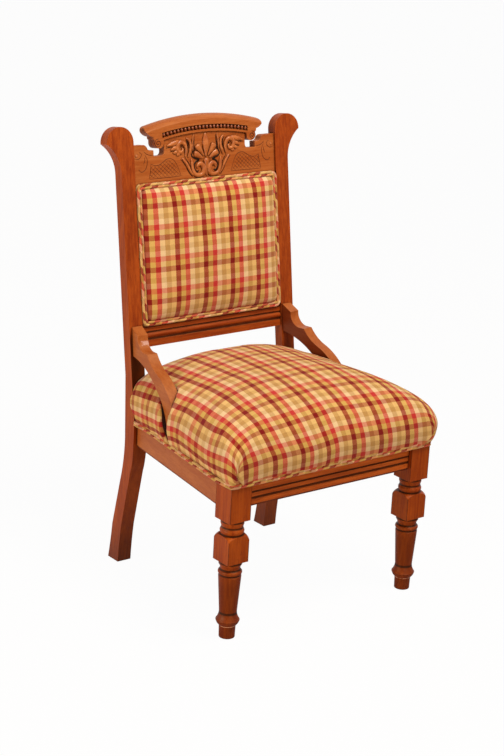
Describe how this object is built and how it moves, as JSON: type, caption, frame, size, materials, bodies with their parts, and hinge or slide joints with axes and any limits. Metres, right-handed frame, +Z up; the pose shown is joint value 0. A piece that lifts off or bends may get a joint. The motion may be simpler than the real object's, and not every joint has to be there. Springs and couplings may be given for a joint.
{
  "type": "eastlake parlor chair",
  "caption": "Armless parlor chair with turned front legs, swept rear posts with scrolled ears, arched beaded crest, hip brackets, domed sprung seat and padded back in plaid",
  "frame": {"origin": "on the floor, under the centre of the chair's bounding box", "axes": "+Z up, the seat's front faces -Y, +X is to the right of somebody facing the chair's front"},
  "size_m": [0.5394, 0.5294, 0.9495],
  "materials": {
    "show_wood": "satin varnish, reddish brown",
    "frame_wood": "unfinished",
    "plaid_cover": "woven plaid of red, gold, tan and cream",
    "welt_cord": "bias-cut plaid over double cord",
    "jute": "plain woven",
    "steel": "plain",
    "dust_cloth": "matt black cambric"
  },
  "bodies": {
    "root": {"front_leg_left": "show_wood", "front_leg_right": "show_wood", "back_post_left": "show_wood", "back_post_right": "show_wood", "front_seat_rail": "show_wood", "side_seat_rail_left": "show_wood", "side_seat_rail_right": "show_wood", "rear_seat_rail": "show_wood", "hip_bracket_left": "show_wood", "hip_bracket_right": "show_wood", "crest_rail": "show_wood", "crest_cornice": "show_wood", "crest_beads": "show_wood", "lower_back_rail": "show_wood", "corner_block_front_left": "frame_wood", "corner_block_front_right": "frame_wood", "corner_block_rear_left": "frame_wood", "corner_block_rear_right": "frame_wood", "back_stile_left": "frame_wood", "back_stile_right": "frame_wood", "bracket_dowels": "frame_wood", "back_pad": "plaid_cover", "outside_back_cover": "plaid_cover", "seat_cushion": "plaid_cover", "back_welt": "welt_cord", "outside_back_welt": "welt_cord", "seat_welt": "welt_cord", "back_webbing": "jute", "seat_webbing": "jute", "seat_burlap": "jute", "corner_block_screws": "steel", "seat_springs": "steel", "seat_dust_cover": "dust_cloth"}
  },
  "joints": []
}
